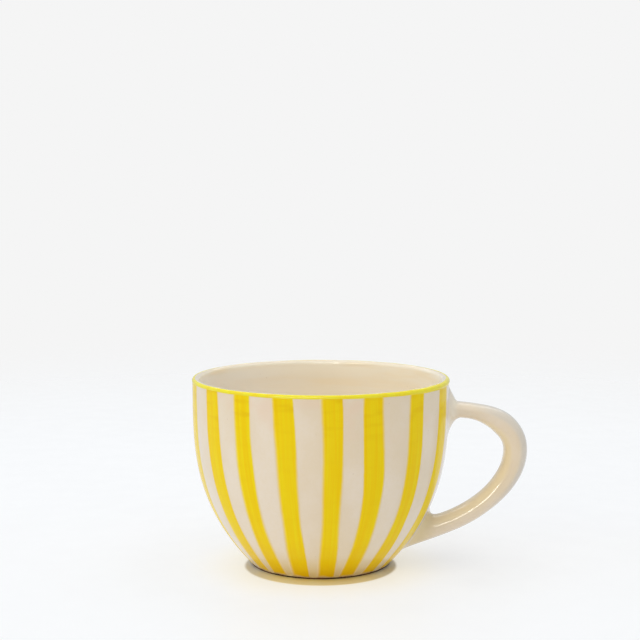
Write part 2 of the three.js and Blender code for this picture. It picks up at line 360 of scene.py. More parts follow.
def wall_point(height, depth):
    """The point of the wall's section that lies a depth inside the outer surface."""
    slope = outer_slope(height)
    length = np.hypot(1, slope)
    return outer_radius(height) - depth / length, height + depth * slope / length


def smoothstep(value, low, high):
    share = np.clip((value - low) / (high - low), 0, 1)
    return share * share * (3 - 2 * share)


def mixed(start, end, share):
    return start + (end - start) * share


def wall_thickness(height):
    to_lip = smoothstep(height, CUP_HEIGHT - LIP_TAPER, CUP_HEIGHT)
    return mixed(WALL_THICKNESS, LIP_THICKNESS, to_lip)


def arc(centre, radius, start, end, steps):
    """Points of an arc of the section, from one angle to another in degrees."""
    angles = np.radians(np.linspace(start, end, steps + 1))
    return [(centre[0] + radius * math.cos(a), centre[1] + radius * math.sin(a)) for a in angles]


def bezier(points, shares):
    """Points of a Bezier curve of any order, by repeated interpolation."""
    shares = np.asarray(shares)[..., None]
    levels = [np.asarray(p, float) for p in points]
    while len(levels) > 1:
        levels = [mixed(a, b, shares) for a, b in zip(levels, levels[1:])]
    return levels[0]


def foot_ring():
    """Outer and inner radius of the flat that the cup stands on."""
    outer = float(outer_radius(FOOT_EDGE_ROUND)) - FOOT_EDGE_ROUND
    return outer, outer - FOOT_RING_WIDTH


def foot_outline():
    ring_outer, ring_inner = foot_ring()
    slope_foot = ring_inner - FOOT_HOLLOW_SLOPE
    hollow = [(r, FOOT_HOLLOW_DEPTH) for r in np.linspace(0, slope_foot, FOOT_HOLLOW_STEPS + 1)]
    flat = [(r, CLAY_FILM) for r in np.linspace(ring_inner, ring_outer, FOOT_RING_STEPS + 1)]
    centre = (ring_outer, FOOT_EDGE_ROUND)
    edge = arc(centre, FOOT_EDGE_ROUND - CLAY_FILM, -90, 0, FOOT_EDGE_STEPS)
    return hollow + flat[:-1] + edge


def inside_outline():
    lip_base = CUP_HEIGHT - LIP_THICKNESS / 2
    heights = np.linspace(lip_base, FLOOR_CURVE_TOP, WALL_STEPS + 1)
    wall = [tuple(map(float, wall_point(h, wall_thickness(h)))) for h in heights]
    start = wall[-1]
    inwards = (start[1] - FLOOR_HEIGHT) * float(outer_slope(FLOOR_CURVE_TOP))
    corner = (start[0] - inwards, FLOOR_HEIGHT)
    shares = np.linspace(0, 1, FLOOR_CURVE_STEPS + 1)
    curve = bezier([start, corner, (FLOOR_RADIUS, FLOOR_HEIGHT)], shares)
    floor = [(r, FLOOR_HEIGHT) for r in np.linspace(FLOOR_RADIUS, 0, FLOOR_STEPS + 1)]
    return wall[1:] + [tuple(p) for p in curve[1:]] + floor[1:]


def cup_outline():
    """The whole section of the cup, from the axis under the foot to the axis on its floor."""
    lip_base = CUP_HEIGHT - LIP_THICKNESS / 2
    heights = np.linspace(FOOT_EDGE_ROUND, lip_base, WALL_STEPS + 1)[1:-1]
    outside = [tuple(map(float, wall_point(h, 0))) for h in heights]
    lip = arc((RIM_RADIUS - LIP_THICKNESS / 2, lip_base), LIP_THICKNESS / 2, 0, 180, LIP_STEPS)
    return foot_outline() + outside + lip + inside_outline()


# --- Mesh helpers --------------------------------------------------------------------------------


def noise_round(azimuth, turns, level):
    """Smooth noise round the cup: it changes faster with more turns, and differs by level."""
    return noise.noise(Vector((turns * math.sin(azimuth), turns * math.cos(azimuth), level)))


def unevenness(azimuth, height):
    """How far the thrown wall strays outwards from its turned shape."""
    return UNEVENNESS * noise_round(azimuth, UNEVENNESS_TURNS, height / UNEVENNESS_HEIGHT)


def cup_azimuths():
    return [2 * math.pi * j / CUP_SEGMENTS for j in range(CUP_SEGMENTS)]


def around(azimuth, radius, height):
    """A point on the cup at an azimuth from -Y towards the handle."""
    radius += unevenness(azimuth, height) * min(1, radius / RIM_RADIUS)
    return (CUP_AXIS_X + radius * math.sin(azimuth), -radius * math.cos(azimuth), height)


def on_wall(azimuth, height, lift):
    radius, lifted = wall_point(height, -lift)
    return around(azimuth, float(radius), float(lifted))


def make_object(name, vertices, faces):
    mesh = bpy.data.meshes.new(name)
    mesh.from_pydata([tuple(map(float, v)) for v in vertices], [], faces)
    mesh.update()
    mesh.shade_smooth()
    piece = bpy.data.objects.new(name, mesh)
    bpy.context.scene.collection.objects.link(piece)
    return piece


def grid_faces(rows, columns, close_rows, close_columns):
    """Quads between neighbouring places of a grid of vertices."""
    return [
        (
            i * columns + j,
            i * columns + (j + 1) % columns,
            (i + 1) % rows * columns + (j + 1) % columns,
            (i + 1) % rows * columns + j,
        )
        for i in range(rows if close_rows else rows - 1)
        for j in range(columns if close_columns else columns - 1)
    ]


def turned_object(name, outline):
    """Turns a section that starts and ends on the axis."""
    rings = outline[1:-1]
    vertices = [around(a, r, z) for r, z in rings for a in cup_azimuths()]
    faces = grid_faces(len(rings), CUP_SEGMENTS, False, True)
    bottom, top = len(vertices), len(vertices) + 1
    vertices += [around(0, 0, outline[0][1]), around(0, 0, outline[-1][1])]
    last = (len(rings) - 1) * CUP_SEGMENTS
    for j in range(CUP_SEGMENTS):
        k = (j + 1) % CUP_SEGMENTS
        faces.append((bottom, k, j))
        faces.append((top, last + j, last + k))
    return make_object(name, vertices, faces)


def closed_band_object(name, sections):
    """A closed ring: each section is a closed loop of points, and so is their row."""
    rows, columns = len(sections), len(sections[0])
    vertices = [p for section in sections for p in section]
    faces = [tuple(reversed(f)) for f in grid_faces(rows, columns, True, True)]
    return make_object(name, vertices, faces)


def store_float(piece, name, values):
    """Stores one number for each vertex, for a material to read."""
    attribute = piece.data.attributes.new(name, "FLOAT", "POINT")
    attribute.data.foreach_set("value", np.asarray(values, np.float32))


def store_uv(piece, places):
    """Places in metres across and along the brush stroke."""
    layer = piece.data.uv_layers.new(name="brush")
    for loop in piece.data.loops:
        layer.uv[loop.index].vector = places[loop.vertex_index]


# --- Cup, rim line and foot ----------------------------------------------------------------------


def mark_inside(cup, outline):
    """Marks where the inside is painted paler and warmer as painted light, and greyer as a painted
    reflection.
    """
    crest = max(range(len(outline)), key=lambda i: outline[i][1])
    depths = np.array([CUP_HEIGHT - z if i > crest else 0 for i, (_, z) in enumerate(outline)])
    # Painted light inside the lip and the cup.
    pale = smoothstep(depths, *PAINTED_LIGHT_LIP) * (1 - PAINTED_LIGHT_LOSS * smoothstep(depths, *PAINTED_LIGHT_FADE))
    store_float(cup, "pale", [*np.repeat(pale[1:-1], CUP_SEGMENTS), pale[0], pale[-1]])
    sideways = np.sin(cup_azimuths())
    inside = smoothstep(depths[1:-1, None], *INSIDE_DEPTH)
    # Painted reflection: greyer on one side inside.
    grey = GREY_SHARE * inside * smoothstep(-sideways, *GREY_SIDE)
    store_float(cup, "grey", [*grey.ravel(), 0, 0])
    # Painted warm light on the other side inside.
    warm = WARM_SHARE * inside * smoothstep(sideways, *WARM_SIDE)
    store_float(cup, "warm", [*warm.ravel(), 0, 0])


def build_cup():
    outline = cup_outline()
    cup = turned_object("cup", outline)
    mark_inside(cup, outline)
    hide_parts("cup_body")
    return cup


def rim_line_extent(azimuth):
    """The angles that the line runs between, in degrees, and its bead there."""
    waver = noise_round(azimuth, RIM_LINE_SLOW_TURNS, RIM_LINE_SLOW_LEVEL)
    fine = noise_round(azimuth, RIM_LINE_FINE_TURNS, RIM_LINE_FINE_LEVEL)
    from_fullest = math.degrees(azimuth) - RIM_LINE_FULLEST
    away = abs((from_fullest + 180) % 360 - 180)
    full = 1 - float(smoothstep(away, 0, RIM_LINE_FULL_SPAN))
    start = RIM_LINE_FROM - RIM_LINE_FULL_DROP * full
    start += RIM_LINE_WAVER * waver + RIM_LINE_FROM_FINE * fine
    end = RIM_LINE_TO + RIM_LINE_FULL_RISE * full + RIM_LINE_TO_FINE * fine
    bead = RIM_LINE_BEAD * (1 + RIM_LINE_SWELLING * waver + RIM_LINE_FULL_BEAD * full)
    return start, end, bead


def lip_point(angle, radius):
    """A point of the section round the middle of the lip's rounding."""
    middle = (RIM_RADIUS - LIP_THICKNESS / 2, CUP_HEIGHT - LIP_THICKNESS / 2)
    return middle[0] + radius * math.cos(angle), middle[1] + radius * math.sin(angle)


def rim_line_section(azimuth):
    """A closed loop: over the lip and, below its rounding, down the wall; then back inside it."""
    start, end, bead = rim_line_extent(azimuth)
    lip_round = LIP_THICKNESS / 2
    section = []
    for i in range(RIM_LINE_STEPS + 1):
        share = i / RIM_LINE_STEPS
        angle = math.radians(mixed(start, end, share))
        fullness = math.sin(math.pi * share) ** RIM_LINE_ROUNDNESS
        lift = (bead + FILM_ROOT) * fullness - FILM_ROOT
        if angle > 0:
            point = lip_point(angle, lip_round + lift)
        else:
            point = (RIM_RADIUS + lift, CUP_HEIGHT - lip_round + lip_round * math.tan(angle))
        section.append(around(azimuth, *point))
    for share in RIM_LINE_UNDERSIDE:
        angle = math.radians(mixed(start, end, share))
        section.append(around(azimuth, *lip_point(angle, lip_round - FILM_DEPTH)))
    return section


def build_rim_line():
    """A brushed line over the lip's outer rounding, fuller where the brush was loaded."""
    return closed_band_object("rim_line", [rim_line_section(a) for a in cup_azimuths()])


def foot_clay_section(azimuth):
    ring_outer, ring_inner = foot_ring()
    centre = (ring_outer, FOOT_EDGE_ROUND)
    ragged = noise_round(azimuth, CLAY_TURNS, CLAY_LEVEL)
    edge_end = CLAY_EDGE + CLAY_RAGGEDNESS * ragged
    edge = arc(centre, FOOT_EDGE_ROUND, -90, edge_end, CLAY_EDGE_STEPS)
    edge_back = arc(centre, FOOT_EDGE_ROUND - CLAY_ROOT, edge_end, -90, CLAY_BACK_STEPS)
    outline = [(ring_inner - CLAY_OVERLAP, 0), (ring_inner + FOOT_RING_WIDTH / 2, 0)]
    outline += edge + edge_back + [(ring_inner, CLAY_ROOT)]
    return [around(azimuth, r, z) for r, z in outline]


def build_foot_clay():
    """The bare ring that the mug stands on, wiped clean of glaze."""
    return closed_band_object("foot_clay", [foot_clay_section(a) for a in cup_azimuths()])


# --- Stripes -------------------------------------------------------------------------------------


def stripe_middle(stripe, height):
    """The azimuth of a stripe's middle in radians, on a smooth line through its four knots."""
    knots = list(reversed(STRIPE_KNOTS))
    values = [stripe.foot, stripe.belly, stripe.shoulder, stripe.rim]
    curve = np.polyfit(knots, values, len(knots) - 1)
    return math.radians(np.polyval(curve, height))


def stripe_width(stripe, height):
    share = smoothstep(height, *STRIPE_WIDENING)
    return math.radians(mixed(stripe.rim_width, stripe.foot_width, share))


def stripe_edge(index, side, height):
    """How far the brush's edge strays there, in metres along the wall."""
    step = STRIPE_NOISE_STEP * index + SIDE_NOISE_STEP * side
    slow = noise.noise(Vector((step, height / STRIPE_SLOW_LENGTH, 0)))
    fine = noise.noise(Vector((step, height / STRIPE_FINE_LENGTH, FINE_NOISE_LEVEL)))
    return STRIPE_WAVER * (slow + STRIPE_FINE_SHARE * fine)


def film_top(index, stripe, height):
    """A row of the film: each point, how far inside the edge it is in mm, and its brush place."""
    radius = float(outer_radius(height))
    middle = stripe_middle(stripe, height)
    half = stripe_width(stripe, height) / 2
    left = -half + (stripe_edge(index, -1, height) - STRIPE_FRINGE) / radius
    right = half + (stripe_edge(index, 1, height) + STRIPE_FRINGE) / radius
    row = []
    for step in np.linspace(-1, 1, STRIPE_COLUMNS + 1):
        share = math.sin(math.pi / 2 * step)
        offset = mixed(left, right, (share + 1) / 2)
        from_side = (1 - abs(share)) * (half * radius + STRIPE_FRINGE)
        inside = min(from_side, height - STRIPE_BOTTOM)
        lift = mixed(-FILM_ROOT / 2, FILM_LIFT, float(smoothstep(inside, 0, FILM_EDGE)))
        place = (offset * radius + BRUSH_STEP * index, height)
        row.append((on_wall(middle + offset, height, lift), inside / MM, place))
    return row


def film_underside(index, stripe, height):
    """A row of points inside the wall, the other way round."""
    middle = stripe_middle(stripe, height)
    half = stripe_width(stripe, height) / 2
    row = []
    for share in FILM_UNDERSIDE:
        point = on_wall(middle + FILM_NARROWING * share * half, height, -FILM_DEPTH)
        row.append((point, 0, (share * half * RIM_RADIUS + BRUSH_STEP * index, height)))
    return row


def film_faces(rows, columns, under_columns):
    """The faces of the top, the underside, the two sides and the two ends."""
    top_count = rows * columns
    faces = grid_faces(rows, columns, False, False)
    underside = grid_faces(rows, under_columns, False, False)
    faces += [tuple(top_count + v for v in f) for f in underside]
    for i in range(rows - 1):
        low, high = i * columns, (i + 1) * columns
        under_low = top_count + i * under_columns
        under_high = under_low + under_columns
        faces.append((low, high, under_high + under_columns - 1, under_high - 1))
        faces.append((low + columns - 1, under_low, under_high, high + columns - 1))
    for row, order in ((0, -1), (rows - 1, 1)):
        start, under = row * columns, top_count + row * under_columns
        ring = [*range(start, start + columns), *range(under, under + under_columns)]
        faces.append(tuple(ring[::order]))
    return faces


def build_stripe(index, stripe):
    """A film of colour on the wall: its edges dip under the glaze."""
    heights = np.linspace(STRIPE_BOTTOM, STRIPE_TOP, STRIPE_ROWS + 1)
    rows = [film_top(index, stripe, h) for h in heights]
    rows += [film_underside(index, stripe, h) for h in heights]
    vertices, edge_distance, places = zip(*[point for row in rows for point in row])
    faces = film_faces(STRIPE_ROWS + 1, STRIPE_COLUMNS + 1, len(FILM_UNDERSIDE))
    piece = make_object(f"stripe_{index + 1:02d}", vertices, faces)
    store_float(piece, "edge_distance", edge_distance)
    store_uv(piece, places)
    return piece


# --- Handle and its joints -----------------------------------------------------------------------


def unit(vectors):
    return vectors / np.linalg.norm(vectors, axis=-1, keepdims=True)


def handle_line():
    """Evenly spaced points of the strap's centre line, and its directions there."""
    x, _, z = HANDLE_OUTERMOST
    above = (x, 0, z + HANDLE_OUTERMOST_RISE)
    below = (x, 0, z - HANDLE_OUTERMOST_FALL)
    shares = np.linspace(0, 1, CENTRE_LINE_SAMPLES)
    upper = bezier([HANDLE_TOP, HANDLE_TOP_PULL, above, HANDLE_OUTERMOST], shares)
    lower = bezier([HANDLE_OUTERMOST, below, HANDLE_BOTTOM_PULL, HANDLE_BOTTOM], shares)
    line = np.vstack([upper, lower[1:]])
    directions = unit(np.gradient(line, axis=0))
    run = np.concatenate([[0], np.cumsum(np.linalg.norm(np.diff(line, axis=0), axis=1))])
    wanted = np.linspace(0, run[-1], STRAP_STEPS + 1)
    places, ways = [
        np.column_stack([np.interp(wanted, run, values[:, k]) for k in range(3)])
        for values in (line, directions)
    ]
    return places, unit(ways)


def rounded(values):
    """A circle's coordinate pushed towards a square's."""
    return np.sign(values) * np.abs(values) ** (2 / HANDLE_SQUARENESS)


def strap_thickness(along):
    swelling = smoothstep(along, *HANDLE_SWELLING)
    slimming = smoothstep(along, *HANDLE_SLIMMING)
    return (
        HANDLE_THICKNESS_TOP
        + (HANDLE_THICKNESS_BEND - HANDLE_THICKNESS_TOP) * swelling
        - (HANDLE_THICKNESS_BEND - HANDLE_THICKNESS_LOWER) * slimming
    )


def section_angles():
    return 2 * math.pi * np.arange(STRAP_SIDES) / STRAP_SIDES


def strap_rings(centres, directions):
    """The strap's surface: one ring of points for each point of its centre line."""
    angles = section_angles()
    sideways = np.array([0.0, 1.0, 0.0])
    outwards = np.cross(directions, sideways)
    thickness = strap_thickness(np.linspace(0, 1, len(centres)))
    across = rounded(np.cos(angles)) * HANDLE_WIDTH / 2
    through = rounded(np.sin(angles)) / 2
    return (
        centres[:, None, :]
        + sideways * across[None, :, None]
        + outwards[:, None, :] * (thickness[:, None] * through[None, :])[..., None]
    )


def blended(values, angles):
    """A joint's outer, inner and side values by the direction round the section."""
    up_or_down = np.sin(angles) ** 2
    facing = np.where(np.sin(angles) > 0, values.outer, values.inner)
    return (facing * up_or_down + values.side * (1 - up_or_down))[:, None]


def wall_directions(points):
    """The wall's outward direction nearest to each point, from the cup's axis."""
    slope = outer_slope(points[..., 2])
    radial = points / np.linalg.norm(points[..., :2], axis=-1, keepdims=True)
    return unit(np.stack([radial[..., 0], radial[..., 1], -slope], axis=-1))


def footprint(joint, angles):
    """The joint's edge on the wall, and the wall's and the footprint's outward directions."""
    sine, cosine = np.sin(angles), np.cos(angles)
    reach = np.where(sine > 0, joint.outer_reach, -joint.inner_reach)
    height = joint.height + reach * sine
    turn = joint.side_reach * cosine / outer_radius(height)
    zero = np.zeros_like(turn)
    radial = np.stack([np.cos(turn), np.sin(turn), zero], axis=-1)
    sideways = np.stack([-np.sin(turn), np.cos(turn), zero], axis=-1)
    up_wall = radial * outer_slope(height)[:, None]
    up_wall[:, 2] = 1
    up_wall = unit(up_wall)
    stray = [unevenness(math.pi / 2 + t, h) for t, h in zip(turn, height)]
    edge = radial * (outer_radius(height) + stray)[:, None]
    edge[:, 2] = height
    edge_out = unit(up_wall * (np.sign(reach) * sine)[:, None] + sideways * cosine[:, None])
    return edge, wall_directions(edge), edge_out


def joint_rings(joint, handle_end, towards_cup):
    """Rings from the handle's end to just under the wall."""
    angles = section_angles()
    edge, wall_out, edge_out = footprint(joint, angles)
    edge = edge - wall_out * JOINT_SINK
    start = handle_end + towards_cup * JOINT_START
    wall_pull, lift = blended(joint.wall_pull, angles), blended(joint.lift, angles)
    leaving = start + towards_cup * blended(joint.handle_pull, angles)
    arriving = edge - edge_out * wall_pull * np.cos(lift) + wall_out * wall_pull * np.sin(lift)
    shares = np.linspace(0, 1, JOINT_STEPS + 1)
    line = [start, leaving, arriving, edge]
    return np.stack([bezier(line, np.full(STRAP_SIDES, share)) for share in shares])


def ring_normals(rings):
    """Smooth outward directions of a long tube of rings."""
    along = np.gradient(rings, axis=0)
    round_it = np.roll(rings, -1, axis=1) - np.roll(rings, 1, axis=1)
    return unit(np.cross(round_it, along))


def blend_into_wall(rings, normals):
    """Turns the directions to the wall's own where the tube comes down to it."""
    outside = np.linalg.norm(rings[..., :2], axis=-1) - outer_radius(rings[..., 2])
    share = smoothstep(outside, 0, JOINT_BLEND)[..., None]
    return unit(mixed(wall_directions(rings), normals, share))


def tube_object(name, rings, normals, first_plug, last_plug):
    """A closed tube: its open ends are plugged inside the neighbouring pieces."""
    body = rings.reshape(-1, 3)
    plugs = np.vstack([first_plug, last_plug])
    vertices = np.vstack([body, plugs, first_plug.mean(0)[None], last_plug.mean(0)[None]])
    rows, sides = rings.shape[:2]
    faces = grid_faces(rows, sides, False, True)
    first, last = len(body), len(body) + sides
    first_middle, last_middle = len(body) + 2 * sides, len(body) + 2 * sides + 1
    end = (rows - 1) * sides
    for j in range(sides):
        k = (j + 1) % sides
        faces.append((first + j, first + k, k, j))
        faces.append((first_middle, first + k, first + j))
        faces.append((end + j, end + k, last + k, last + j))
        faces.append((last_middle, last + j, last + k))
    vertices[:, 0] += CUP_AXIS_X
    piece = make_object(name, vertices, faces)
    at_ends = [normals[0], normals[-1], normals[0][:1], normals[-1][:1]]
    filled = np.vstack([normals.reshape(-1, 3), *at_ends])
    piece.data.normals_split_custom_set_from_vertices(filled.tolist())
    return piece


def plug(ring, direction):
    """A ring that goes on inside the neighbouring piece."""
    middle = ring.mean(0)
    return middle + (ring - middle) * PLUG_SHARE + direction * PLUG_DEPTH


def mark_tube(piece, name, values, last_plug=0.0):
    """Stores a value for each point of a tube's rings, and for the ring of its last plug."""
    plugs = np.zeros((2, STRAP_SIDES))
    plugs[1] = last_plug
    store_float(piece, name, [*values.ravel(), *plugs.ravel(), 0, 0])


def mark_joints(upper_joint, lower_joint):
    """Painted shade on the lower joint, towards the wall, and painted light over the upper one."""
    along = np.linspace(0, 1, JOINT_STEPS + 2)[:, None]
    every_side = np.ones((1, STRAP_SIDES))
    # Painted shade on the lower joint.
    pooling_and_painted_shade = smoothstep(along, *JOINT_SHADE_RISE) * (1 - JOINT_SHADE_LOSS * smoothstep(along, *JOINT_SHADE_FALL))
    mark_tube(lower_joint, "pooling_and_painted_shade", pooling_and_painted_shade * every_side)
    # Painted light over the upper joint.
    painted_joint_light = JOINT_LIGHT_MOST * smoothstep(along, *JOINT_LIGHT_RISE) * (1 - smoothstep(along, *JOINT_LIGHT_FALL))
    mark_tube(upper_joint, "pale", painted_joint_light * every_side)


def mark_tones(handle, lower_joint):
    """Painted warm light on the strap's inner side and the lower joint, and painted cooler, greyer
    shade outside.
    """
    outwards = np.sin(section_angles())
    run = np.linspace(0, 1, STRAP_STEPS + 1)[:, None]
    rise = smoothstep(run, *HANDLE_TONES_RISE)
    fall = smoothstep(run, *HANDLE_TONES_FALL)
    # Painted warm light on the strap's inner side.
    warm = smoothstep(-outwards - mixed(WARM_FROM, 0, fall), 0, WARM_SPREAD) * rise
    # Painted grey shade on the strap's outer side.
    cool = smoothstep(outwards, *COOL_SPREAD) * rise * (1 - fall)
    mark_tube(handle, "warm", warm, last_plug=warm[-1])
    mark_tube(handle, "cool", cool)
    along = np.linspace(0, 1, JOINT_STEPS + 2)[:, None]
    mark_tube(lower_joint, "warm", (1 - smoothstep(along, *WARM_JOINT_FADE)) * warm[-1])


def build_handle_and_joints():
    """One smooth surface from wall to wall, cut into the strap and its two joints."""
    centres, directions = handle_line()
    strap = strap_rings(centres, directions)
    upper = joint_rings(UPPER_JOINT, strap[0], -directions[0])[::-1]
    lower = joint_rings(LOWER_JOINT, strap[-1], directions[-1])
    rings = np.concatenate([upper, strap, lower])
    normals = blend_into_wall(rings, ring_normals(rings))
    first, last = len(upper), len(upper) + len(strap) - 1
    handle = tube_object(
        "handle_strap", rings[first:last + 1], normals[first:last + 1],
        plug(strap[0], -directions[0]), plug(strap[-1], directions[-1]),
    )
    under_wall = [rings[i] - wall_directions(rings[i]) * JOINT_ROOT for i in (0, -1)]
    upper_joint = tube_object(
        "upper_joint", rings[:first + 1], normals[:first + 1],
        under_wall[0], plug(strap[0], directions[0]),
    )
    lower_joint = tube_object(
        "lower_joint", rings[last:], normals[last:],
        plug(strap[-1], -directions[-1]), under_wall[1],
    )
    mark_joints(upper_joint, lower_joint)
    mark_tones(handle, lower_joint)
    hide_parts("handle")
    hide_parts("upper_slip_joint")
    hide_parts("lower_slip_joint")
    return handle, upper_joint, lower_joint


# --- Materials -----------------------------------------------------------------------------------

# Where a mix node keeps the sockets that it uses for colours.
MIX_SHARE = 0
MIX_START = 6
MIX_END = 7
MIX_RESULT = 2


class Material:
    """A procedural material: short calls that add nodes to it and link them."""

    def __init__(self, name):
        self.material = bpy.data.materials.new(name)
        self.material.use_nodes = True
        self.nodes = self.material.node_tree.nodes
        self.links = self.material.node_tree.links
        self.shader = self.nodes["Principled BSDF"]

    def node(self, kind, inputs=(), **settings):
        made = self.nodes.new(kind)
        for key, value in settings.items():
            setattr(made, key, value)
        for key, value in dict(inputs).items():
            self.feed(made.inputs[key], value)
        return made

    def feed(self, socket, value):
        if isinstance(value, bpy.types.NodeSocket):
            self.links.new(value, socket)
        else:
            socket.default_value = value

    def set_shader(self, name, value):
        """Sets a number or colour of the shader that nothing is linked to."""
        self.shader.inputs[name].default_value = value

    def place(self):
        return self.node("ShaderNodeTexCoord").outputs["Object"]

    def marked(self, name):
        """A number that the mesh stores for each of its vertices; 0 where it stores none."""
        return self.node("ShaderNodeAttribute", attribute_name=name).outputs["Fac"]

    def noise(self, vector, scale, detail=2.0, roughness=0.5):
        inputs = {"Vector": vector, "Scale": scale, "Detail": detail, "Roughness": roughness}
        return self.node("ShaderNodeTexNoise", inputs).outputs["Fac"]

    def stretched(self, vector, scale):
        return self.node("ShaderNodeMapping", {"Vector": vector, "Scale": scale}).outputs["Vector"]

    def ranged(self, value, span, result=(0.0, 1.0)):
        """Turns one span of values smoothly into another."""
        inputs = {"Value": value}
        inputs.update({"From Min": span[0], "From Max": span[1]})
        inputs.update({"To Min": result[0], "To Max": result[1]})
        made = self.node("ShaderNodeMapRange", inputs, interpolation_type="SMOOTHSTEP")
        return made.outputs["Result"]

    def mix(self, share, start, end):
        made = self.node("ShaderNodeMix", data_type="RGBA")
        self.feed(made.inputs[MIX_SHARE], share)
        self.feed(made.inputs[MIX_START], start)
        self.feed(made.inputs[MIX_END], end)
        return made.outputs[MIX_RESULT]

    def maths(self, operation, first, second):
        made = self.node("ShaderNodeMath", operation=operation)
        self.feed(made.inputs[0], first)
        self.feed(made.inputs[1], second)
        return made.outputs[0]

    def component(self, vector, axis):
        return self.node("ShaderNodeSeparateXYZ", {"Vector": vector}).outputs[axis]

    def distance(self, vector, point=(0, 0, 0)):
        made = self.node("ShaderNodeVectorMath", {0: vector, 1: point}, operation="DISTANCE")
        return made.outputs["Value"]

    def bump(self, height, distance, under=None):
        inputs = {"Height": height, "Strength": 1.0, "Distance": distance}
        if under is not None:
            inputs["Normal"] = under
        return self.node("ShaderNodeBump", inputs).outputs["Normal"]

    def finish(self, colour, roughness, normal):
        self.feed(self.shader.inputs["Base Color"], colour)
        self.feed(self.shader.inputs["Roughness"], roughness)
        self.feed(self.shader.inputs["Normal"], normal)
        return self.material


def glaze_normal(material, place):
    """The soft waviness of a poured glaze, with finer orange peel in it."""
    waves = material.bump(material.noise(place, scale=120, detail=1), GLAZE_WAVE_DEPTH)
    return material.bump(material.noise(place, scale=900, detail=2), GLAZE_PEEL_DEPTH, waves)


def clouded_cream(material, place):
    """The glaze where nothing has changed it: soft clouds and a fine mottling."""
    clouds = material.ranged(material.noise(place, scale=38, detail=3), (0.35, 0.65))
    mottling = material.ranged(material.noise(place, scale=700, detail=2), (0.3, 0.7))
    colour = material.mix(clouds, CREAM, CREAM_THIN)
    return material.mix(material.maths("MULTIPLY", mottling, MOTTLING), colour, CREAM_POOLED_AND_SHADED)


def toned_inside(material, place, colour, pale):
    """Painted light: paler inside the cup and on the upper joint, with smears; and greyer on one
    side inside, as a painted reflection.
    """
    colour = material.mix(pale, colour, CREAM_PAINTED_LIGHT)
    smears = material.noise(material.stretched(place, (22, 22, 160)), scale=1.0, detail=3)
    smears = material.ranged(smears, (0.48, 0.68), (0, 0.6))
    colour = material.mix(material.maths("MULTIPLY", smears, pale), colour, CREAM_SMEARED)
    return material.mix(material.marked("grey"), colour, CREAM_PAINTED_REFLECTION)


def blushed(material, place, colour, pale):
    """Faint warm blotches outside, below the rim."""
    blushes = material.ranged(material.noise(place, scale=62, detail=2), (0.5, 0.66), (0, 0.55))
    near_rim = material.ranged(material.component(place, "Z"), (56 * MM, 72 * MM))
    blushes = material.maths("MULTIPLY", blushes, near_rim)
    outside = material.ranged(pale, (0, 0.3), (1, 0))
    return material.mix(material.maths("MULTIPLY", blushes, outside), colour, CREAM_BLUSH)


def specked(material, place, colour):
    cells = material.node("ShaderNodeTexVoronoi", {"Vector": place, "Scale": 190})
    specks = material.ranged(cells.outputs["Distance"], (0.07, 0.03), (0, 0.22))
    return material.mix(specks, colour, SPECK)


def cream_glaze():
    """Glaze over cream clay: painted paler in places as painted light, darker towards the foot, and
    with painted shade on the lower joint.
    """
    material = Material("cream_glaze")
    place = material.place()
    # The painted light inside the cup and over the upper joint.
    pale = material.marked("pale")
    colour = clouded_cream(material, place)
    colour = toned_inside(material, place, colour, pale)
    colour = blushed(material, place, colour, pale)
    # Painted warm light, and painted grey shade on the strap's outer side.
    colour = material.mix(material.marked("warm"), colour, CREAM_PAINTED_WARM_LIGHT)
    colour = material.mix(material.marked("cool"), colour, CREAM_PAINTED_GREY_SHADE)
    # Painted shade on the lower joint, darkest towards the wall.
    pooling_and_painted_shade = material.maths("MULTIPLY", material.marked("pooling_and_painted_shade"), JOINT_SHADE_SHARE)
    colour = material.mix(pooling_and_painted_shade, colour, CREAM_POOLED_AND_SHADED)
    # Darker and more yellow towards the foot.
    low_down = material.ranged(material.component(place, "Z"), (14 * MM, 0), (0, 0.8))
    colour = material.mix(low_down, colour, CREAM_POOLED_AND_SHADED)
    colour = specked(material, place, colour)
    dulling = material.noise(place, scale=160, detail=3)
    roughness = material.ranged(dulling, (0.3, 0.7), (0.10, 0.16))
    material.set_shader("IOR", CREAM_IOR)
    material.set_shader("Sheen Weight", CREAM_SHEEN)
    material.set_shader("Sheen Roughness", CREAM_SHEEN_ROUGHNESS)
    material.set_shader("Sheen Tint", CREAM_SHEEN_TINT)
    return material.finish(colour, roughness, glaze_normal(material, place))


def brushed_yellow(material, place, brush, streaks):
    """Streaks along the stroke, fuller colour in pools near the rim, and darker colour towards the
    foot.
    """
    broad = material.noise(material.stretched(brush, (420, 16, 1)), scale=1.0, detail=2)
    load = material.maths("MULTIPLY", material.maths("ADD", streaks, broad), 0.5)
    colour = material.mix(material.ranged(load, (0.36, 0.62)), YELLOW_THIN, YELLOW)
    height = material.component(place, "Z")
    near_rim = material.ranged(height, (60 * MM, 76 * MM), (0.12, 0.6))
    pools = material.noise(material.stretched(brush, (60, 230, 1)), scale=1.0, detail=2)
    pooling_and_painted_shade = material.maths("MULTIPLY", material.ranged(pools, (0.45, 0.7)), near_rim)
    colour = material.mix(pooling_and_painted_shade, colour, YELLOW_POOLED)
    # Darker towards the foot.
    near_foot = material.ranged(height, (22 * MM, 2 * MM), (0, 0.65))
    return material.mix(near_foot, colour, YELLOW_POOLED)


